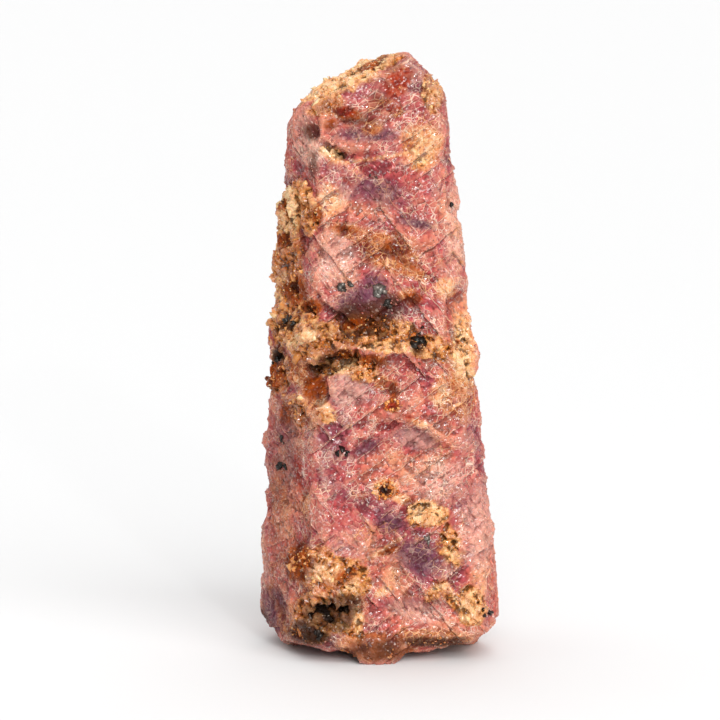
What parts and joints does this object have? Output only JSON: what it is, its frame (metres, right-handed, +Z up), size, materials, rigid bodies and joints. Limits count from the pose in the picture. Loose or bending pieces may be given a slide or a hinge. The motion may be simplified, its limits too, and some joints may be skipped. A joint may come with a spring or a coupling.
{
  "type": "rough ruby crystal",
  "caption": "Rough tapering six-sided corundum crystal with a slanting broken top, parting ledges, pits and stained crust, standing on its flat foot.",
  "frame": {"origin": "middle of the crystal's box, on the plane of its flat foot", "axes": "+Z up along the crystal, +Y from the side seen in front to the back, +X to the viewer's right"},
  "size_m": [0.0194, 0.0152, 0.0478],
  "materials": {
    "ruby_stone": "rough, cracked corundum with iron-stained crust"
  },
  "bodies": {
    "root": {"ruby_crystal": "ruby_stone"}
  },
  "joints": []
}
